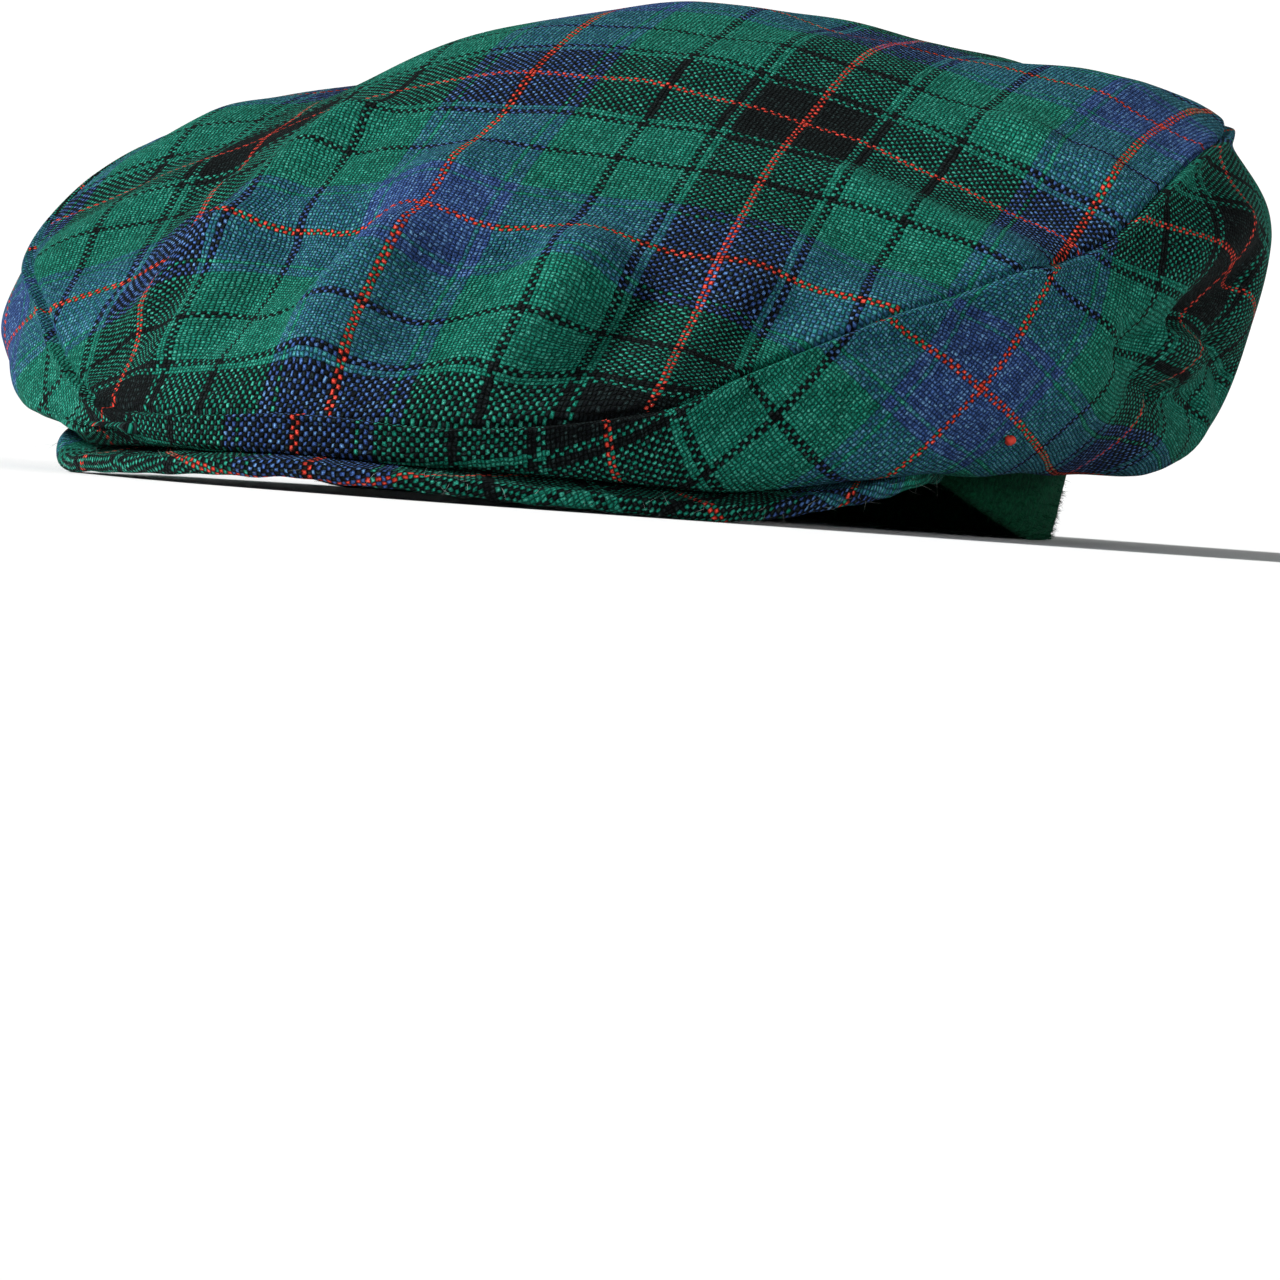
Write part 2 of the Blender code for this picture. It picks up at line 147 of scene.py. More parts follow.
soft_lamp("lamp_over", (-2.0, -1.25, 1.65), 15.0, 5.4)
soft_lamp("lamp_left", (2.6, 0.2, 0.25), 30.0, 3.2)
sky = bpy.data.worlds.new("even_sky")
sky.use_nodes = True
sky.node_tree.nodes["Background"].inputs["Color"].default_value = (0.98, 0.99, 1.0, 1)
sky.node_tree.nodes["Background"].inputs["Strength"].default_value = 0.17
scene.world = sky
scene.view_settings.view_transform = "Standard"


# Peak
# A stiff, slightly cupped board under the front of the crown, covered in the cap's own tartan cloth, which
# is glued over it and turned round its rim. Only the rim and a narrow strip behind it show.
PEAK_HALF_WIDTH, PEAK_REACH, PEAK_THICKNESS = 0.090, 0.159, 0.0035
PEAK_END_LIFT, PEAK_ARCH, PEAK_CUP, FOOT_SET_BACK = 0.0105, 0.006, 1.3, 0.0065
HEAD_HALF_WIDTH, HEAD_HALF_LENGTH, SEAM_GAP = 0.078, 0.098, 0.0003
PEAK_EDGE = np.array([
    # across  ahead  lift
    [0.000, 1.000, 0.22],
    [0.278, 0.970, 0.14],
    [0.633, 0.820, 0.03],
    [0.811, 0.711, 0.00],
    [0.933, 0.597, 0.33],
    [0.989, 0.503, 0.62],
    [1.000, 0.409, 0.90],
    [0.956, 0.302, 0.97],
    [0.878, 0.189, 1.00],
])


def through(places, values, query, free_end=False):
    """A smooth curve through a table's rows: cubic pieces whose slope at each row is that between its
    neighbours. It is level at its ends, or runs on at the last row with free_end."""
    slopes = np.zeros_like(values)
    slopes[1:-1] = (values[2:] - values[:-2]) / (places[2:] - places[:-2])
    if free_end:
        slopes[-1] = (values[-1] - values[-2]) / (places[-1] - places[-2])
    k = np.clip(np.searchsorted(places, query, side="right") - 1, 0, len(places) - 2)
    span = places[k + 1] - places[k]
    t = np.clip((query - places[k]) / span, 0, 1)
    return ((2 * t**3 - 3 * t**2 + 1) * values[k] + (t**3 - 2 * t**2 + t) * span * slopes[k]
            + (3 * t**2 - 2 * t**3) * values[k + 1] + (t**3 - t**2) * span * slopes[k + 1])


def ellipse_radius(angle, half_width, half_length, forward=0.0):
    """Distance at a plan angle from the opening's middle to an ellipse whose own middle lies forward of it:
    the root of the quadratic that puts the ray's end on the ellipse."""
    a = (np.sin(angle) / half_width)**2 + (np.cos(angle) / half_length)**2
    b = np.cos(angle) * forward / half_length**2
    c = (forward / half_length)**2 - 1
    return (b + np.sqrt(b**2 - a * c)) / a


EDGE_ANGLES = np.arctan2(PEAK_EDGE[:, 0] * PEAK_HALF_WIDTH, PEAK_EDGE[:, 1] * PEAK_REACH)
EDGE_RADII = np.hypot(PEAK_EDGE[:, 0] * PEAK_HALF_WIDTH, PEAK_EDGE[:, 1] * PEAK_REACH)
PEAK_END = EDGE_ANGLES[-1]


def peak_edge(angle):
    """Radius and height of the peak's lower edge at a plan angle."""
    angle = np.minimum(np.abs(angle), PEAK_END)
    radius = through(EDGE_ANGLES, EDGE_RADII, angle, free_end=True)
    return radius, through(EDGE_ANGLES, PEAK_EDGE[:, 2] * PEAK_END_LIFT, angle)


def peak_under(angle, radius):
    """Height of the peak's underside: it rises from the edge to the head opening, most at the front."""
    edge_radius, edge_height = peak_edge(angle)
    inner_radius = ellipse_radius(angle, HEAD_HALF_WIDTH, HEAD_HALF_LENGTH)
    share = np.clip((edge_radius - radius) / (edge_radius - inner_radius), 0, 1)
    arch = PEAK_ARCH * np.cos(np.pi / 2 * np.minimum(np.abs(angle) / PEAK_END, 1))**2
    return edge_height + (PEAK_END_LIFT + arch - edge_height) * share**PEAK_CUP


def at_angle(angle, radius, height):
    """Points at a plan angle, measured from straight ahead towards the wearer's left."""
    return np.stack([radius * np.sin(angle), -radius * np.cos(angle), height], axis=-1)


def ring_faces(stations, count, first=0, ring=True, closed=True):
    """Quads between neighbouring stations of an outline of count points. Also the same corners as rows of a
    uv grid with one station more, so that a pattern may end where the ring closes."""
    i = np.arange(stations if ring else stations - 1)[:, None]
    j = np.arange(count if closed else count - 1)[None, :]
    beside = (j + 1) % count
    here, there, uv_there = i * count, (i + 1) % stations * count, (i + 1) * count
    faces = np.stack([here + j, here + beside, there + beside, there + j], axis=-1).reshape(-1, 4) + first
    corners = np.stack([here + j, here + beside, uv_there + beside, uv_there + j], axis=-1)
    return faces, corners.reshape(-1, 4)


def end_caps(stations, count):
    """The first and last outline of an open run of stations, each as one face that points away from it."""
    outline = np.arange(count)
    return [outline[::-1], (stations - 1) * count + outline]


# yarn counts of the tartan's half repeat, from the red line in blue to the one in black, where it mirrors
SETT = [("red", 1), ("blue", 12), ("green", 1), ("blue", 3), ("green", 16), ("black", 2), ("green", 15),
        ("black", 2), ("green", 2), ("black", 13), ("red", 1)]
YARN = {"red": (0.48, 0.036, 0.022), "blue": (0.030, 0.068, 0.215), "green": (0.007, 0.160, 0.108),
        "black": (0.0022, 0.0026, 0.0036)}
HALF_REPEAT = 0.0655
YARNS = sum(count for _, count in SETT)
YARN_PITCH = HALF_REPEAT / YARNS


def tartan_cloth(name):
    """Plain-woven wool: yarns one pitch apart, coloured by the sett in warp and weft alike. Warp shows where
    warp number + weft number is even. Each crossing is a bead, sin(pi across)^0.8 times sin(pi along)^0.45
    of its yarn. Light and shade on the weave are painted into its colour: painted shade darkens the gaps and
    a painted highlight brightens the bead tops. Single beads and fibres vary in tone, and painted glints of
    a light teal lie on the tops of some beads, 0.6 + 18 (the yarn's blue) times as many, so few on black and
    red.
    Green and blue yarns blend, as their nap covers the gaps: blend = 4.2 (lesser of the two yarns' blue -
    0.03), at most 0.33. The shade, painted dark in the gaps and light on the tops, is bead^1.6 (1.75 - 1.9
    blend)
    + 0.9 blend + 0.04, times the fibres, the single beads and the blotches, which vary the tone."""
    material, tree, shader = new_material(name, Roughness=0.9, Specular_IOR_Level=0.05, Sheen_Weight=0.015,
                                          Sheen_Roughness=0.5, Sheen_Tint=(0.6, 1.0, 0.9, 1))

    def calc(operation, a, b=0.0, c=0.0):
        return add_node(tree, "Math", {0: a, 1: b, 2: c}, operation=operation)[0]

    uv = add_node(tree, "UVMap", uv_map="cloth")["UV"]
    wander = add_node(tree, "TexNoise", {"Vector": uv, "Scale": 520.0, "Detail": 2.0})["Color"]
    wander = add_node(tree, "VectorMath", {0: wander, 1: (0.5, 0.5, 0.5)}, operation="SUBTRACT")["Vector"]
    wander_size = 1.1 * YARN_PITCH
    wander = add_node(tree, "VectorMath", {0: wander, "Scale": wander_size}, operation="SCALE")["Vector"]
    laid = add_node(tree, "VectorMath", {0: uv, 1: wander}, operation="ADD")["Vector"]
    split = add_node(tree, "SeparateXYZ", {0: laid})
    warp_run, weft_run = (calc("MULTIPLY", split[axis], 1 / YARN_PITCH) for axis in "XY")
    warp_number, weft_number = calc("FLOOR", warp_run), calc("FLOOR", weft_run)
    warp_up = calc("LESS_THAN", calc("FLOORED_MODULO", calc("ADD", warp_number, weft_number), 2.0), 0.5)

    def sett_colour(number):
        place = calc("DIVIDE", calc("PINGPONG", calc("ADD", number, 0.5), float(YARNS)), float(YARNS))
        ramp = tree.nodes.new("ShaderNodeValToRGB")
        ramp.color_ramp.interpolation = "CONSTANT"
        stripes = ramp.color_ramp.elements
        stripes.remove(stripes[1])
        stripes[0].position, stripes[0].color = 0.0, (*YARN[SETT[0][0]], 1)
        start = SETT[0][1]
        for colour, count in SETT[1:]:
            stripes.new(start / YARNS).color = (*YARN[colour], 1)
            start += count
        tree.links.new(place, ramp.inputs["Fac"])
        return ramp.outputs["Color"]

    weft_colour, warp_colour = sett_colour(weft_number), sett_colour(warp_number)
    weft_blue = add_node(tree, "SeparateColor", {0: weft_colour})["Blue"]
    warp_blue = add_node(tree, "SeparateColor", {0: warp_colour})["Blue"]
    shared_blue = calc("MAXIMUM", calc("SUBTRACT", calc("MINIMUM", weft_blue, warp_blue), 0.03), 0.0)
    blend = calc("MINIMUM", calc("MULTIPLY", shared_blue, 4.2), 0.33)
    side_up = calc("MULTIPLY_ADD", warp_up, calc("SUBTRACT", 1.0, calc("MULTIPLY", blend, 2.0)), blend)
    yarn_colour = add_node(tree, "Mix", {0: side_up, 6: weft_colour, 7: warp_colour}, data_type="RGBA")[2]

    def arch(run):
        return calc("SINE", calc("MULTIPLY", calc("FRACT", run), np.pi))

    def power(base, exponent):
        return calc("POWER", base, exponent)

    warp_bead = calc("MULTIPLY", power(arch(warp_run), 0.8), power(arch(weft_run), 0.45))
    weft_bead = calc("MULTIPLY", power(arch(weft_run), 0.8), power(arch(warp_run), 0.45))
    height = add_node(tree, "Mix", {0: warp_up, 2: weft_bead, 3: warp_bead})[0]

    crossing = add_node(tree, "CombineXYZ", {0: warp_number, 1: weft_number})[0]
    bead = add_node(tree, "TexWhiteNoise", {"Vector": crossing}, noise_dimensions="2D")["Value"]
    fibre_noise = {"Vector": uv, "Scale": 2600.0, "Detail": 3.0, "Roughness": 0.75}
    fibres = add_node(tree, "TexNoise", fibre_noise)["Fac"]
    blotch_noise = {"Vector": uv, "Scale": 160.0, "Detail": 3.0, "Roughness": 0.6}
    blotches = add_node(tree, "TexNoise", blotch_noise)["Fac"]
    # painted shade darkens the gaps between beads and a painted highlight brightens their tops; fibres,
    # single beads and blotches vary the tone
    shade = calc("MULTIPLY_ADD", power(height, 1.6), calc("MULTIPLY_ADD", blend, -1.9, 1.75),
                 calc("MULTIPLY_ADD", blend, 0.9, 0.04))
    shade = calc("MULTIPLY", shade, calc("MAXIMUM", calc("MULTIPLY_ADD", fibres, 5.0, -1.5), 0.12))
    shade = calc("MULTIPLY", shade, calc("MULTIPLY_ADD", bead, 0.6, 0.7))
    shade = calc("MULTIPLY", shade, calc("MULTIPLY_ADD", blotches, 0.8, 0.6))
    shaded = add_node(tree, "VectorMath", {0: yarn_colour, "Scale": shade}, operation="SCALE")["Vector"]
    yarn_blue = add_node(tree, "SeparateColor", {0: yarn_colour})["Blue"]
    # painted glints: a light teal mixed onto the tops of some beads as highlights, fewest on black and red
    # yarns
    painted_glint = calc("MULTIPLY", power(height, 3.0), calc("MULTIPLY", power(fibres, 4.0), power(bead, 3.0)))
    painted_glint = calc("MULTIPLY", painted_glint, calc("MULTIPLY_ADD", yarn_blue, 18.0, 0.6))
    yarn_with_painted_glint = add_node(tree, "Mix", {0: calc("MINIMUM", painted_glint, 0.5), 6: shaded, 7: (0.35, 0.75, 0.68, 1)},
                       data_type="RGBA")[2]
    tree.links.new(yarn_with_painted_glint, shader.inputs["Base Color"])
    relief = calc("ADD", height, calc("MULTIPLY", fibres, 0.5))
    bump = add_node(tree, "Bump", {"Strength": 1.0, "Distance": 0.0005, "Height": relief})["Normal"]
    tree.links.new(bump, shader.inputs["Normal"])
    return material


tartan = tartan_cloth("tartan_wool")
PEAK_STATIONS, RIM_ROW, CLOTH_MIDDLE = 241, 30, (-0.0045, 0.2215)
angle = np.linspace(-PEAK_END, PEAK_END, PEAK_STATIONS)
edge_radius = peak_edge(angle)[0]
half = PEAK_THICKNESS / 2
inner_radius = ellipse_radius(angle, HEAD_HALF_WIDTH, HEAD_HALF_LENGTH)
shares = np.linspace(0, 1, 25)[:-1]
under = [inner_radius + (edge_radius - half - inner_radius) * share for share in shares]
outline = [at_angle(angle, radius, peak_under(angle, radius)) for radius in under]
for lean in np.radians(np.linspace(-90, 90, 13)):
    radius = edge_radius - half + half * np.cos(lean)
    height = peak_under(angle, edge_radius - half) + half + half * np.sin(lean)
    outline.append(at_angle(angle, radius, height))
outline += [row + np.array([0.0, 0.0, PEAK_THICKNESS]) for row in outline[len(shares) - 1::-1]]
peak_points = np.array(outline).transpose(1, 0, 2)
# the glued cloth is nowhere quite flat: two sets of shallow waves, at most 0.3 mm together
x, y = peak_points[..., 0], peak_points[..., 1]
slack = 0.00018 * np.sin(x * 310 + 1.0) * np.sin(y * 190) + 0.00012 * np.sin(x * 700 + y * 500)
peak_points[..., 2] += slack
# the cloth's run across the rim is measured along the outline, so no pattern is stretched on the rim's face
steps = np.linalg.norm(np.diff(peak_points, axis=1), axis=-1)
run = np.concatenate([np.zeros((PEAK_STATIONS, 1)), np.cumsum(steps, axis=1)], axis=1)
rim = peak_points[:, RIM_ROW:RIM_ROW + 1]
flat_radius = np.hypot(rim[..., 0], rim[..., 1]) + run - run[:, RIM_ROW:RIM_ROW + 1]
cloth_x = flat_radius * np.sin(angle)[:, None] + CLOTH_MIDDLE[0]
cloth_y = -flat_radius * np.cos(angle)[:, None] + CLOTH_MIDDLE[1]
peak_uv = np.stack([cloth_x, cloth_y], axis=-1)
faces, corners = ring_faces(PEAK_STATIONS, peak_points.shape[1], ring=False)
caps = end_caps(PEAK_STATIONS, peak_points.shape[1])
peak_faces = faces.tolist() + [cap.tolist() for cap in caps]
peak_corners = np.concatenate([corners.ravel(), *caps])
peak_cover = piece_from_grid("peak_cover", peak_points + PLACE, peak_faces, tartan, peak_corners, peak_uv)
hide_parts("peak")
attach(peak_cover, "root")


# Ear band
# A strip of dark green fleece sewn inside the foot of the crown, which covers the ears and nape. Its nap
# stands in short fibres, and its lower edge is cut and left soft.
BAND_THICKNESS, BAND_HEIGHT, BAND_FLARE, BAND_SWEEP = 0.0025, 0.023, 0.004, 35.0


def band_outer(angle, height):
    """Radius of the band's outer face: the head opening's ellipse, a wall and an even lean further out."""
    out = BAND_THICKNESS + BAND_FLARE * height / BAND_HEIGHT
    return ellipse_radius(angle, HEAD_HALF_WIDTH + out, HEAD_HALF_LENGTH + out)


def band_foot(angle):
    """Height of the band's foot: nothing round the back, and within BAND_SWEEP degrees of its ends it rises
    by the 1.5th power to the peak's ends."""
    from_end = np.degrees(np.minimum(angle, 2 * np.pi - angle)) - np.degrees(BAND_START)
    return PEAK_END_LIFT * np.clip(1 - from_end / BAND_SWEEP, 0, 1)**1.5


BAND_START = PEAK_END + SEAM_GAP / HEAD_HALF_WIDTH
BAND_STATIONS = 361
angle = np.linspace(BAND_START, 2 * np.pi - BAND_START, BAND_STATIONS)
foot = band_foot(angle)
half = BAND_THICKNESS / 2
outline = []
for lean in np.radians(np.linspace(-90, 90, 9)):
    height = foot + half - half * np.cos(lean)
    outline.append(at_angle(angle, band_outer(angle, foot) - half + half * np.sin(lean), height))
for share in np.linspace(0, 1, 24)[1:]:
    height = foot + half + (BAND_HEIGHT - foot - half) * share
    outline.append(at_angle(angle, band_outer(angle, height), height))
for share in np.linspace(1, 0, 24)[:-1]:
    height = foot + half + (BAND_HEIGHT - foot - half) * share
    outline.append(at_angle(angle, band_outer(angle, height) - BAND_THICKNESS, height))
band_points = np.array(outline).transpose(1, 0, 2)
faces, _ = ring_faces(BAND_STATIONS, band_points.shape[1], ring=False)
band_faces = faces.tolist() + [cap.tolist() for cap in end_caps(BAND_STATIONS, band_points.shape[1])]


def fleece_material(name):
    """Brushed fleece: a matt dark green whose nap is fine clumped noise, lighter at the clumps' tips."""
    material, tree, shader = new_material(name, Roughness=1.0, Specular_IOR_Level=0.05, Sheen_Weight=0.05,
                                          Sheen_Roughness=0.6, Sheen_Tint=(0.2, 0.8, 0.5, 1))
    place = add_node(tree, "TexCoord")["Object"]
    clump_noise = {"Vector": place, "Scale": 900.0, "Detail": 4.0, "Roughness": 0.7}
    clumps = add_node(tree, "TexNoise", clump_noise)["Fac"]
    ramp = tree.nodes.new("ShaderNodeValToRGB")
    ramp.color_ramp.elements[0].position, ramp.color_ramp.elements[1].position = 0.35, 0.7
    ramp.color_ramp.elements[0].color = (0.0, 0.013, 0.007, 1)
    ramp.color_ramp.elements[1].color = (0.001, 0.062, 0.024, 1)
    tree.links.new(clumps, ramp.inputs["Fac"])
    tree.links.new(ramp.outputs["Color"], shader.inputs["Base Color"])
    bump = add_node(tree, "Bump", {"Strength": 0.8, "Distance": 0.0006, "Height": clumps})["Normal"]
    tree.links.new(bump, shader.inputs["Normal"])
    return material


fleece = fleece_material("green_fleece_nap")
fleece_band = piece_from_grid("fleece_ear_band", band_points + PLACE, band_faces, fleece)
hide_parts("ear_band")
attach(fleece_band, "root")


STRAND_ROWS, FLOOR_CLEARANCE = 6, 0.0002


def strands(name, roots, directions, lengths, width, curl, seed, material):
    """Fine curved fibres: the middle line is root + length (direction step + bend step^2), with step from 0
    to 1 and bend a chance part of curl, square to the direction. It narrows to its tip and stays above the
    floor."""
    random = np.random.default_rng(seed)
    side = np.cross(directions, random.normal(size=directions.shape))
    side /= np.linalg.norm(side, axis=1, keepdims=True)
    bend = np.cross(directions, side) * random.normal(size=(len(roots), 1)) * curl
    step = np.linspace(0, 1, STRAND_ROWS)[None, :, None]
    middle = roots[:, None] + lengths[:, None, None] * (directions[:, None] * step + bend[:, None] * step**2)
    half_width = width / 2 * (1.05 - step) * side[:, None]
    points = np.stack([middle - half_width, middle + half_width], axis=2)
    points[..., 2] = np.maximum(points[..., 2], FLOOR_CLEARANCE)
    start = np.arange(len(roots))[:, None] * 2 * STRAND_ROWS + np.arange(STRAND_ROWS - 1) * 2
    corner = start.ravel()
    faces = np.stack([corner, corner + 1, corner + 3, corner + 2], axis=-1)
    made = piece_from_grid(name, points + PLACE, faces.tolist(), material)
    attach(made, "root")
    return made


NAP_FIBRES, NAP_WIDTH, NAP_CURL = 7000, 0.00012, 0.4
random = np.random.default_rng(4)
station = random.uniform(0, 1, NAP_FIBRES) * (BAND_STATIONS - 1.1)
# the fibres stand on the band's foot and the lower half of its outer face, closest near the foot
row = random.integers(2, 22, NAP_FIBRES) * random.uniform(0, 1, NAP_FIBRES)**0.7
first, level = station.astype(int), row.astype(int)
roots = band_points[first, level]
roots = roots + (band_points[first + 1, level] - roots) * (station - first)[:, None]
roots = roots + (band_points[first, level + 1] - band_points[first, level]) * (row - level)[:, None]
outwards = at_angle(angle[first], np.ones(NAP_FIBRES), np.full(NAP_FIBRES, -0.35))
directions = outwards / 1.06 + random.normal(scale=0.45, size=(NAP_FIBRES, 3))
directions[:, 2] = np.where(roots[:, 2] < 0.0025, np.abs(directions[:, 2]) * 0.3, directions[:, 2])
directions /= np.linalg.norm(directions, axis=1, keepdims=True)
lengths = random.uniform(0.0006, 0.0016, NAP_FIBRES)
fleece_nap = strands("fleece_nap", roots, directions, lengths, NAP_WIDTH, NAP_CURL, 5, fleece)


# Side panel
# A crescent of tartan cloth from the narrow strip over the peak round the ears to the back. Its upper edge
# is sewn to the top panel with the turnings pressed down under it, which raises a welt along the seam.
CROWN_HALF_WIDTH, CROWN_HALF_LENGTH, CROWN_FORWARD, CAP_HEIGHT = 0.127, 0.1365, 0.0155, 0.1055
CLOTH, RIGHT_DROP, RIGHT_SWELL, SEAM_SWELL_SHARE, FOLD_DEPTH = 0.0015, 0.012, 0.005, 0.6, 0.005
SECTIONS = np.array([
    # angle seam_out seam_up belly_out belly_up turn_out turn_up to_band rim_up drop  swell
    [0,     0.993,  0.085,  1.000,    0.64,    1.000,   0.27,   0.0,    0.74,  0.00, 0.00],
    [12,    0.980,  0.089,  0.987,    0.67,    0.987,   0.33,   0.0,    0.74,  0.12, 0.00],
    [25,    0.932,  0.150,  0.942,    0.63,    0.932,   0.24,   0.0,    0.74,  0.50, 0.00],
    [33,    0.907,  0.236,  0.927,    0.64,    0.907,   0.20,   0.0,    0.74,  0.83, 0.15],
    [45,    0.899,  0.330,  0.928,    0.58,    0.892,   0.06,   0.0,    0.74,  1.00, 0.45],
    [57,    0.922,  0.396,  0.952,    0.54,    0.864,   -0.04,  0.2,    0.74,  0.83, 0.70],
    [70,    0.925,  0.480,  0.970,    0.54,    0.834,   -0.07,  1.0,    0.74,  0.67, 1.00],
    [80,    0.916,  0.600,  0.980,    0.60,    0.815,   -0.04,  1.0,    0.74,  0.67, 1.00],
    [92,    0.915,  0.700,  0.990,    0.66,    0.851,   -0.02,  1.0,    0.78,  0.67, 0.70],
    [110,   0.914,  0.750,  1.003,    0.66,    0.897,   0.02,   1.0,    0.83,  0.50, 0.30],
    [130,   0.917,  0.776,  1.005,    0.62,    0.917,   0.02,   1.0,    0.87,  0.25, 0.00],
    [155,   0.919,  0.784,  0.996,    0.54,    0.919,   -0.01,  1.0,    0.91,  0.00, 0.00],
    [180,   0.926,  0.793,  1.000,    0.50,    0.926,   -0.01,  1.0,    0.91,  0.00, 0.00],
])
RING_SHARES = np.array([0.0, 0.35, 0.8, 1.0])
# the cap's main folds, as in its solids, in shares of its half width, half length and height
FOLDS = np.array([
    # across along up    to: across along up  width  rise
    [-0.66, -0.11, 0.76,  -0.57, 0.26, 0.85,   0.17,  -1.1],
    [-0.46, -0.03, 0.83,  -0.31, 0.19, 0.92,   0.16,  -0.4],
    [-0.79, -0.11, 0.70,  -0.78, 0.08, 0.73,   0.09,   0.4],
    [-0.32, -0.35, 0.71,  -0.39, -0.60, 0.46,  0.07,   0.5],
    [-0.39, -0.60, 0.46,  -0.46, -0.70, 0.30,  0.07,   0.5],
    [-0.55, -0.36, 0.61,  -0.71, -0.49, 0.42,  0.09,  -0.6],
    [-0.20, -0.87, 0.28,  -0.15, -0.67, 0.49,  0.07,  -0.5],
    [-0.03, -0.90, 0.29,  -0.03, -0.56, 0.60,  0.08,   0.7],
    [0.09, -0.89, 0.29,   0.12, -0.71, 0.48,   0.07,  -0.4],
    [0.20, -0.85, 0.28,   0.24, -0.69, 0.45,   0.09,   0.4],
    [0.31, -0.82, 0.27,   0.33, -0.74, 0.36,   0.07,  -0.3],
    [0.55, -0.36, 0.64,   0.83, -0.36, 0.50,   0.07,   0.4],
    [0.68, -0.07, 0.77,   0.89, -0.08, 0.65,   0.07,   0.3],
    [0.77, -0.03, 0.76,   0.76, 0.38, 0.86,    0.07,   0.4],
    [0.68, 0.30, 0.92,    0.74, 0.44, 0.90,    0.12,   1.2],
    [0.28, 0.26, 0.97,    0.47, 0.26, 0.95,    0.17,  -0.3],
    [0.98, 0.05, 0.52,    0.94, 0.33, 0.66,    0.16,   0.5],
    [0.95, -0.16, 0.39,   0.97, 0.18, 0.50,    0.06,  -0.7],
    [0.96, 0.05, 0.44,    0.91, 0.33, 0.33,    0.06,  -0.5],
    [0.95, -0.05, 0.38,   0.94, 0.14, 0.36,    0.06,   0.5],
    [0.94, -0.08, 0.31,   0.90, 0.25, 0.28,    0.06,  -0.5],
    [0.86, 0.07, 0.19,    0.85, 0.29, 0.23,    0.08,   0.5],
])
# the smaller gathers and creases, which the scene alone has
CREASES = np.array([
    # across along up    to: across along up   width  rise
    [0.25, -0.86, 0.25,   0.28, -0.68, 0.46,   0.060, 0.85],
    [0.14, -0.88, 0.25,   0.18, -0.70, 0.46,   0.050, -0.65],
    [0.35, -0.82, 0.25,   0.38, -0.70, 0.40,   0.055, -0.85],
    [0.45, -0.76, 0.27,   0.50, -0.60, 0.42,   0.060, 0.85],
    [0.56, -0.66, 0.33,   0.64, -0.50, 0.46,   0.070, -0.45],
    [-0.36, -0.80, 0.27,  -0.36, -0.60, 0.46,  0.060, 0.70],
    [-0.26, -0.84, 0.27,  -0.25, -0.66, 0.46,  0.050, -0.65],
    [-0.03, -0.90, 0.27,  -0.03, -0.72, 0.48,  0.060, 0.65],
    [0.06, -0.90, 0.26,   0.08, -0.74, 0.45,   0.040, -0.30],
    [-0.13, -0.88, 0.27,  -0.12, -0.70, 0.46,  0.045, -0.50],
    [-0.46, -0.68, 0.32,  -0.32, -0.35, 0.71,  0.045, 0.40],
    [-0.40, -0.72, 0.36,  -0.25, -0.42, 0.68,  0.050, -0.35],
    [-0.57, -0.37, 0.60,  -0.60, -0.56, 0.40,  0.050, -0.40],
    [0.77, -0.06, 0.73,   0.76, 0.38, 0.86,    0.040, -0.50],
    [0.68, -0.07, 0.77,   0.84, -0.08, 0.67,   0.045, 0.50],
    [0.55, -0.36, 0.645,  0.83, -0.36, 0.50,   0.045, 0.45],
    [0.56, -0.47, 0.57,   0.80, -0.45, 0.44,   0.050, -0.40],
    [0.93, -0.18, 0.38,   0.97, 0.00, 0.455,   0.030, -0.50],
    [0.97, 0.00, 0.455,   0.968, 0.20, 0.54,   0.034, -0.75],
    [0.97, 0.04, 0.46,    0.93, 0.22, 0.40,    0.030, -0.60],
    [0.93, 0.22, 0.40,    0.90, 0.36, 0.33,    0.032, -0.75],
    [0.92, -0.08, 0.32,   0.92, 0.04, 0.29,    0.026, -0.40],
    [0.92, 0.04, 0.29,    0.90, 0.26, 0.28,    0.030, -0.60],
    [0.98, -0.02, 0.56,   0.98, 0.14, 0.62,    0.050, 0.40],
    [0.96, -0.06, 0.395,  0.95, 0.08, 0.370,   0.030, 0.40],
    [0.86, -0.30, 0.34,   0.92, -0.12, 0.24,   0.040, 0.15],
    [-0.93, 0.10, 0.45,   -0.92, 0.40, 0.56,   0.035, -0.30],
    [-0.95, 0.25, 0.40,   -0.90, 0.50, 0.28,   0.030, -0.25],
    [-0.30, 0.97, 0.50,   -0.05, 0.99, 0.40,   0.035, -0.25],
    [0.15, 0.98, 0.45,    0.45, 0.90, 0.58,    0.035, -0.30],
])


def outward(points):
    """The crown's general outward direction, the same for both panels where they meet: away from the middle
    of an ellipsoid round the crown, square to its surface."""
    middle = np.array([0.0, -CROWN_FORWARD, 0.3 * CAP_HEIGHT])
    spread = np.array([CROWN_HALF_WIDTH, CROWN_HALF_LENGTH, 0.7 * CAP_HEIGHT])
    direction = (points - middle) / spread**2
    return direction / np.linalg.norm(direction, axis=-1, keepdims=True)


def folded(points, folds=FOLDS):
    """Points of a panel moved out or in by every fold, by rise FOLD_DEPTH exp(-(distance / width)^2), with
    the distance from the fold's line."""
    middle = np.array([0.0, -CROWN_FORWARD, 0.0])
    scale = np.array([CROWN_HALF_WIDTH, CROWN_HALF_LENGTH, CAP_HEIGHT])
    shift = np.zeros(points.shape[:-1])
    for row in folds:
        start = middle + row[0:3] * scale
        run = row[3:6] * scale + middle - start
        share = np.clip((points - start) @ run / (run @ run), 0, 1)
        distance = np.linalg.norm(points - start - share[..., None] * run, axis=-1)
        shift += row[7] * FOLD_DEPTH * np.exp(-(distance / (row[6] * CROWN_HALF_WIDTH))**2)
    return points + shift[..., None] * outward(points)


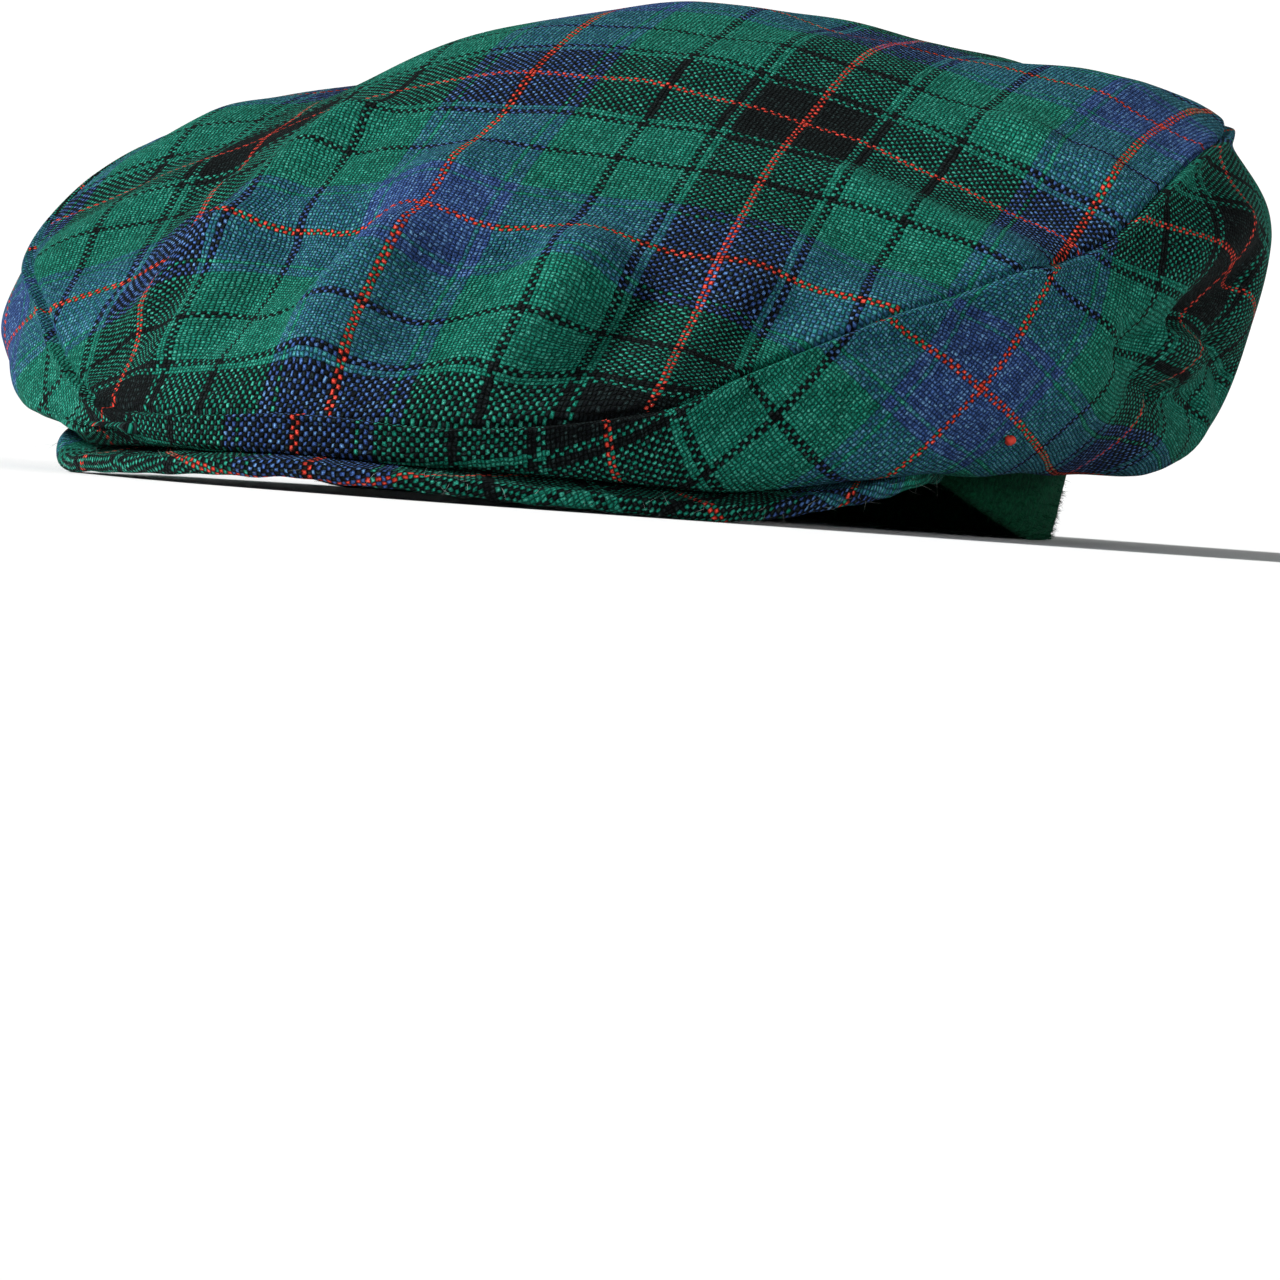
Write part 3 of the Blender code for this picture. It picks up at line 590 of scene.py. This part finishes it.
def crown_rings(angle):
    """Radius and height of the seam, belly, turn and rim at plan angles, the wearer's left positive. Radii
    are shares of the crown's ellipse, heights are shares of the rise above the rim, and the rim rests on the
    peak's top or outside the band. The right side drops and swells by the table's last two columns."""
    column = [through(SECTIONS[:, 0], SECTIONS[:, i], np.degrees(np.abs(angle))) for i in range(1, 11)]
    seam_out, seam_up, belly_out, belly_up, turn_out, turn_up, to_band, rim_up, drop, swell = column
    base = ellipse_radius(angle, CROWN_HALF_WIDTH, CROWN_HALF_LENGTH, CROWN_FORWARD)
    right_side = 1 / (1 + np.exp(np.degrees(angle) / 4))
    drop = drop * right_side * RIGHT_DROP
    swell = swell * right_side * RIGHT_SWELL
    on_peak = peak_edge(angle)[0] - FOOT_SET_BACK
    on_band = band_outer(angle, rim_up * BAND_HEIGHT) + SEAM_GAP
    rim_radius = on_peak + (on_band - on_peak) * to_band
    peak_top = peak_under(angle, on_peak) + PEAK_THICKNESS + SEAM_GAP
    rim_height = peak_top + (rim_up * BAND_HEIGHT - peak_top) * to_band
    seam_height = rim_height + (CAP_HEIGHT - rim_height) * seam_up
    rise = seam_height - rim_height
    upper_swell = swell * SEAM_SWELL_SHARE
    seam_radius, belly_radius = seam_out * base + upper_swell, belly_out * base + upper_swell
    radii = [seam_radius, belly_radius, turn_out * base + swell, rim_radius]
    belly_height = rim_height + belly_up * rise - drop
    heights = [seam_height - drop, belly_height, rim_height + turn_up * rise, rim_height]
    return np.array(radii), np.array(heights)


def side_surface(angle, down):
    """The side panel's outer face: a smooth curve down each section's rings, from the seam to the rim."""
    values = at_angle(angle, *crown_rings(angle))
    slopes = np.empty_like(values)
    slopes[1:-1] = (values[2:] - values[:-2]) / (RING_SHARES[2:] - RING_SHARES[:-2])[:, None, None]
    slopes[0] = (values[1] - values[0]) / (RING_SHARES[1] - RING_SHARES[0])
    slopes[-1] = (values[-1] - values[-2]) / (RING_SHARES[-1] - RING_SHARES[-2])
    k = np.clip(np.searchsorted(RING_SHARES, down, side="right") - 1, 0, len(RING_SHARES) - 2)
    span = (RING_SHARES[k + 1] - RING_SHARES[k])[:, None, None]
    t = (down - RING_SHARES[k])[:, None, None] / span
    rows = ((2 * t**3 - 3 * t**2 + 1) * values[k] + (t**3 - 2 * t**2 + t) * span * slopes[k]
            + (3 * t**2 - 2 * t**3) * values[k + 1] + (t**3 - t**2) * span * slopes[k + 1])
    return folded(rows)


def normals(grid):
    """Unit normals of a grid of rows by stations, closed around its stations."""
    around = np.roll(grid, -1, axis=1) - np.roll(grid, 1, axis=1)
    across = np.gradient(grid, axis=0)
    normal = np.cross(across, around)
    return normal / np.maximum(np.linalg.norm(normal, axis=-1, keepdims=True), 1e-12)


def along_rows(grid):
    """Distance travelled down each station of a grid, from its first row."""
    steps = np.linalg.norm(np.diff(grid, axis=0), axis=-1)
    return np.concatenate([np.zeros((1, grid.shape[1])), np.cumsum(steps, axis=0)])


def clear_of_peak_and_band(points):
    """Points of the side panel lifted onto the peak's top, and kept outside the band, by the seam gap."""
    x, y = points[..., 0], points[..., 1]
    angle, radius = np.arctan2(x, -y), np.hypot(x, y)
    over_peak = (np.abs(angle) < PEAK_END + np.radians(3)) & (radius < peak_edge(angle)[0] + SEAM_GAP)
    top = peak_under(angle, radius) + PEAK_THICKNESS + SEAM_GAP
    height = np.where(over_peak, np.maximum(points[..., 2], top), points[..., 2])
    band = band_outer(angle, np.minimum(height, BAND_HEIGHT)) + SEAM_GAP
    push = np.maximum(1, band / radius)
    return np.stack([x * push, y * push, height], axis=-1)


def soft_waves(points, size):
    """Shallow slack of soft cloth: a sum of slanting sine waves, 20 to 50 mm long and size high in all."""
    waves = [
        # radians per metre across, along and up, and the wave's start in radians
        (105, 40, 60, 0.3),
        (-70, 95, 120, 1.9),
        (160, -120, 90, 4.0),
        (60, 190, -140, 2.2),
        (-230, 60, 190, 5.1),
    ]
    x, y, z = points[..., 0], points[..., 1], points[..., 2]
    total = sum(np.sin(x * across + y * along + z * up + start) for across, along, up, start in waves)
    return size / len(waves) * total


def bell(distance, place, width):
    """A bump of height 1: exp(-((distance - place) / width)^2)."""
    return np.exp(-((distance - place) / width)**2)


# the back seam's groove is narrow, so stations lie closer together beside it
near_back = np.array([0.0, 0.006, 0.012, 0.018, 0.026, 0.036])
around = np.linspace(-np.pi + 0.05, np.pi - 0.05, 469)
around = np.concatenate([near_back - np.pi, around, np.pi - near_back[:0:-1]])
CROWN_STATIONS, SIDE_ROWS, INNER_STEP = len(around), 100, 3
down = np.linspace(0, 1, SIDE_ROWS)**1.8
smooth_side = side_surface(around, down)
side = folded(smooth_side, CREASES)
from_seam = along_rows(side)
to_rim = from_seam[-1] - from_seam
welt = 0.0010 * bell(from_seam, 0.0015, 0.0009) - 0.0013 * bell(from_seam, 0.0, 0.0007)
roll_under = -0.0012 * bell(to_rim, 0.0, 0.0009)
off_back = CROWN_HALF_LENGTH * (np.pi - np.abs(around))
back_seam = 0.0005 * bell(off_back, 0.0021, 0.0012) - 0.0009 * bell(off_back, 0.0, 0.0008)
SLACK, SLACK_EASE = 0.0012, 0.006
ease = np.clip(from_seam / SLACK_EASE, 0, 1) * np.clip(to_rim / 0.01, 0, 1)
side_normal = normals(side)
side_lift = welt + roll_under + back_seam + soft_waves(side, SLACK) * ease
side_out = clear_of_peak_and_band(side + side_normal * side_lift[..., None])
inner_rows = np.arange(0, SIDE_ROWS, INNER_STEP)
side_in = clear_of_peak_and_band((side - CLOTH * side_normal)[inner_rows])
outlines = np.concatenate([side_out, side_in[::-1]]).transpose(1, 0, 2)


GRAIN = np.array([
    # run from the centre front in metres, turn of the grain in degrees
    [0.000, 0], [0.040, 3], [0.060, 12], [0.080, 24], [0.100, 35], [0.140, 48],
    [0.184, 51], [0.220, 59], [0.300, 75], [0.400, 90],
])
SIDE_FULLNESS, BELLY_ROW = 1.6, 55
SEAM_CLOTH = (0.002, 0.058)
FRONT_EXTRA, FRONT_REACH = 0.0028, 0.07


def side_cloth(grid, taken_up):
    """Cloth coordinates of the crescent: the grain lies level at the centre front and turns more and more
    with the run round the panel, to upright at the back. s is the run's level part less the turned part of
    the fall from the seam, and grows by its own square for the cloth's fullness. t goes down by the fall's
    upright part and the run's turned part, and is FRONT_EXTRA more at the centre front. taken_up is the
    extra cloth in the welt's rise, counted from below the welt: zero there and negative on it."""
    half_count = grid.shape[1] // 2
    belly = grid[BELLY_ROW]
    step = np.linalg.norm(np.roll(belly, -1, axis=0) - belly, axis=-1)
    run = np.concatenate([[0], np.cumsum(step)])
    run -= run[half_count]
    grain = np.sign(run) * np.radians(np.interp(np.abs(run), GRAIN[:, 0], GRAIN[:, 1]))
    middle, width = (grain[1:] + grain[:-1]) / 2, np.diff(run)
    s_run = np.concatenate([[0], np.cumsum(np.cos(middle) * width)])
    t_run = np.concatenate([[0], np.cumsum(np.sin(middle) * width)])
    s_run -= s_run[half_count]
    t_run -= t_run[half_count]
    fall = along_rows(grid) + taken_up
    fall = np.concatenate([fall, fall[:, :1]], axis=1)
    s = SEAM_CLOTH[0] + s_run - fall * np.sin(grain)
    extra = FRONT_EXTRA * np.clip(1 - np.abs(run) / FRONT_REACH, 0, 1)
    t = SEAM_CLOTH[1] - fall * np.cos(grain) - t_run + extra
    return np.stack([s * (1 + SIDE_FULLNESS * np.abs(s)), t], axis=-1)


run_step = np.diff(from_seam, axis=0)
taken_up = np.cumsum(np.hypot(np.diff(welt, axis=0), run_step) - run_step, axis=0)
taken_up = np.concatenate([np.zeros((1, CROWN_STATIONS)), taken_up]) - taken_up[-1]
cloth = side_cloth(smooth_side, taken_up)
side_uv = np.concatenate([cloth, cloth[inner_rows][::-1]]).transpose(1, 0, 2)
faces, corners = ring_faces(CROWN_STATIONS, outlines.shape[1])
side_faces, side_corners = faces.tolist(), corners.ravel()
side_panel = piece_from_grid("side_panel", outlines + PLACE, side_faces, tartan, side_corners, side_uv)
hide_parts("crown_side")
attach(side_panel, "root")


# Top panel
# One teardrop of tartan cloth over the whole crown, pulled forward and down to the front strip, where its
# fullness gathers in soft folds. Its edge turns down into the seam.
DOME = np.array([
    # along  rise
    [0.000, 0.000],
    [0.008, 0.022],
    [0.027, 0.103],
    [0.053, 0.179],
    [0.095, 0.248],
    [0.148, 0.289],
    [0.213, 0.326],
    [0.270, 0.392],
    [0.327, 0.481],
    [0.384, 0.592],
    [0.441, 0.696],
    [0.498, 0.786],
    [0.555, 0.880],
    [0.612, 0.960],
    [0.688, 1.000],
    [0.783, 0.860],
    [0.878, 0.600],
    [0.947, 0.340],
    [1.000, 0.000],
])
DOME_POWER = 1.8


def top_surface(angle, out):
    """The top panel's outer face: its edge is the seam, and at each distance along the cap it rises from
    both edges to the dome's middle line by 1 - share^DOME_POWER, with share the distance across over the
    edge's. Also the height of the middle line over each point, for the pattern's run across."""
    seam_radius, seam_height = (ring[0] for ring in crown_rings(angle))
    edge = at_angle(angle, seam_radius, seam_height)
    points = out[:, None, None] * edge
    x, y = points[..., 0], points[..., 1]
    front, back = edge[:, 1].min(), edge[:, 1].max()
    edges = {}
    for side in (1, -1):
        half = np.linspace(0, np.pi, 361) * side
        radius, height = (ring[0] for ring in crown_rings(half))
        line = at_angle(half, radius, height)
        order = np.argsort(line[:, 1])
        edges[side] = (np.interp(y, line[order, 1], np.abs(line[order, 0])),
                       np.interp(y, line[order, 1], line[order, 2]))
    rise = through(DOME[:, 0], DOME[:, 1], (y - front) / (back - front))
    middle_height = edges[1][1] + rise * (CAP_HEIGHT - edges[1][1])
    reach = np.where(x >= 0, edges[1][0], edges[-1][0])
    edge_height = np.where(x >= 0, edges[1][1], edges[-1][1])
    share = np.clip(np.abs(x) / np.maximum(reach, SEAM_GAP), 0, 1)
    points[..., 2] = edge_height + (middle_height - edge_height) * (1 - share**DOME_POWER)
    return folded(points), middle_height


WEFT = np.array([
    # where weft lines cross the middle line: along in metres, half repeats
    [-0.178, -1.50],
    [-0.163, -1.20],
    [-0.151, -0.96],
    [-0.134, -0.50],
    [-0.106, 0.00],
    [-0.080, 0.50],
    [-0.049, 1.00],
    [0.002, 1.90],
    [0.060, 2.85],
    [0.112, 3.80],
])
SAG_STEPS = [
    # where a step of the weft's sag starts along the cap, its length, and its share of WEFT_SAG
    (-0.049, 0.036, 1.0),
    (-0.102, 0.016, 1.0),
    (-0.126, 0.026, -1.2),
]
WARP_WIDTH, WARP_TURN, WEFT_SAG, SAG_ROUND = 0.060, 6.3, 0.24, 0.012
WARP_MIDDLE, FALL_SHARE, LEAST_RUN = (-0.001, -0.109), 0.35, 0.02


def top_cloth(points, middle_height):
    """Cloth coordinates of the teardrop. s is the run across from the centre line, which turns a little
    from straight ahead, longer by the cloth's fall to the side: run (1 + FALL_SHARE (fall / run)^2). t
    follows WEFT along the middle line. In front of the dome the weft sags: its sides lie further back in
    proportion to the distance across, in two steps, and near the front seam most of that fades again."""
    x, y = points[..., 0], points[..., 1]
    fall = np.clip(middle_height - points[..., 2], 0, None)
    off = x - WARP_MIDDLE[0] + (y - WARP_MIDDLE[1]) * np.tan(np.radians(WARP_TURN))
    s = off * (1 + FALL_SHARE * (fall / np.maximum(np.abs(off), LEAST_RUN))**2)
    sag = WEFT_SAG * sum(share * np.clip((start - y) / length, 0, 1) for start, length, share in SAG_STEPS)
    along = y - sag * (np.hypot(x, SAG_ROUND) - SAG_ROUND)
    t = through(WEFT[:, 0], WEFT[:, 1], along, free_end=True)
    return np.stack([s / WARP_WIDTH, t], axis=-1) * HALF_REPEAT


TOP_ROWS = 115
out = 1 - np.linspace(1, 0, TOP_ROWS)**1.5
out[0] = 0.0
smooth_top, middle_height = top_surface(around, out)
top = folded(smooth_top, CREASES)
top_normal = normals(top)
top_normal[0] = outward(top[:1])
to_seam = along_rows(top)[-1] - along_rows(top)
turn_down = -0.0013 * bell(to_seam, 0.0, 0.0010)
ease = np.clip(to_seam / SLACK_EASE, 0, 1)
top_out = top + top_normal * (turn_down + soft_waves(top, SLACK) * ease)[..., None]
top_out[0] = top_out[0].mean(axis=0)
inner_rows = np.arange(0, TOP_ROWS, INNER_STEP)
top_in = (top - CLOTH * top_normal)[inner_rows]
top_in[0] = top_in[0].mean(axis=0)
cloth = top_cloth(smooth_top, middle_height)
cloth = np.concatenate([cloth, cloth[:, :1]], axis=1)
# the two poles come first, then each station from the outer pole's ring over the edge to the inner one's
rows = np.concatenate([top_out[1:], top_in[:0:-1]])
row_uv = np.concatenate([cloth[1:], cloth[inner_rows][:0:-1]])
count = rows.shape[0]
top_points = np.concatenate([top_out[0, :1], top_in[0, :1], rows.transpose(1, 0, 2).reshape(-1, 3)])
top_uv = np.concatenate([cloth[0, :1], cloth[0, :1], row_uv.transpose(1, 0, 2).reshape(-1, 2)])
faces, corners = ring_faces(CROWN_STATIONS, count, first=2, closed=False)
station = np.arange(CROWN_STATIONS)
outer_pole, inner_pole = np.zeros_like(station), np.ones_like(station)
here, following = 2 + station * count, 2 + (station + 1) % CROWN_STATIONS * count
uv_following = 2 + (station + 1) * count
outer_fan = np.stack([outer_pole, here, following], axis=-1)
outer_fan_uv = np.stack([outer_pole, here, uv_following], axis=-1)
inner_fan = np.stack([inner_pole, following + count - 1, here + count - 1], axis=-1)
inner_fan_uv = np.stack([inner_pole, uv_following + count - 1, here + count - 1], axis=-1)
top_faces = faces.tolist() + outer_fan.tolist() + inner_fan.tolist()
top_corners = np.concatenate([corners.ravel() + 2, outer_fan_uv.ravel(), inner_fan_uv.ravel()])
top_panel = piece_from_grid("top_panel", top_points + PLACE, top_faces, tartan, top_corners, top_uv)
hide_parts("crown_top")
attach(top_panel, "root")


# Loose wool
# Single fibres worked out of the cloth, which stand off the peak's rim, and one short red end of yarn that
# shows as a small knot on the side panel.
LOOSE_FIBRES, LOOSE_WIDTH, LOOSE_CURL = 110, 0.00006, 0.7
random = np.random.default_rng(9)
wool, _, _ = new_material("loose_wool_fibre", Base_Color=(0.30, 0.36, 0.33, 1), Roughness=0.8)
station = random.integers(12, 228, LOOSE_FIBRES)
roots = peak_points[station, random.integers(RIM_ROW - 5, RIM_ROW + 5, LOOSE_FIBRES)]
rim_angle = np.linspace(-PEAK_END, PEAK_END, PEAK_STATIONS)[station]
directions = at_angle(rim_angle, np.full(LOOSE_FIBRES, 0.8), np.full(LOOSE_FIBRES, -0.1))
directions = directions + random.normal(scale=0.6, size=(LOOSE_FIBRES, 3))
directions /= np.linalg.norm(directions, axis=1, keepdims=True)
lengths = random.uniform(0.0015, 0.0040, LOOSE_FIBRES)
loose_wool = strands("loose_wool", roots, directions, lengths, LOOSE_WIDTH, LOOSE_CURL, 6, wool)

KNOT_AROUND, KNOT_ROWS = 16, 11
KNOT_SIZE, KNOT_PLACE = np.array([0.0010, 0.0013, 0.0009]), np.array([0.1064, -0.0628, 0.0196])
knot_turn = np.linspace(0, 2 * np.pi, KNOT_AROUND + 1)[:-1, None]
knot_rise = np.linspace(-1.5, 1.5, KNOT_ROWS)
knot_up = np.sin(knot_rise) + np.zeros((KNOT_AROUND, 1))
knot_across, knot_along = np.cos(knot_turn) * np.cos(knot_rise), np.sin(knot_turn) * np.cos(knot_rise)
knot = np.stack([knot_across, knot_along, knot_up], axis=-1)
uneven = 1 + 0.18 * np.sin(3 * knot_turn + 2 * knot_rise)
knot = knot * uneven[..., None] * KNOT_SIZE + KNOT_PLACE
faces, _ = ring_faces(KNOT_AROUND, KNOT_ROWS, closed=False)
foot, head = np.arange(KNOT_AROUND) * KNOT_ROWS, np.arange(KNOT_AROUND) * KNOT_ROWS + KNOT_ROWS - 1
knot_faces = faces[:, ::-1].tolist() + [foot[::-1].tolist(), head.tolist()]
red_wool, _, _ = new_material("red_wool_end", Base_Color=(0.55, 0.03, 0.012, 1), Roughness=0.8)
yarn_end = piece_from_grid("yarn_end", knot + PLACE, knot_faces, red_wool)
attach(yarn_end, "root")
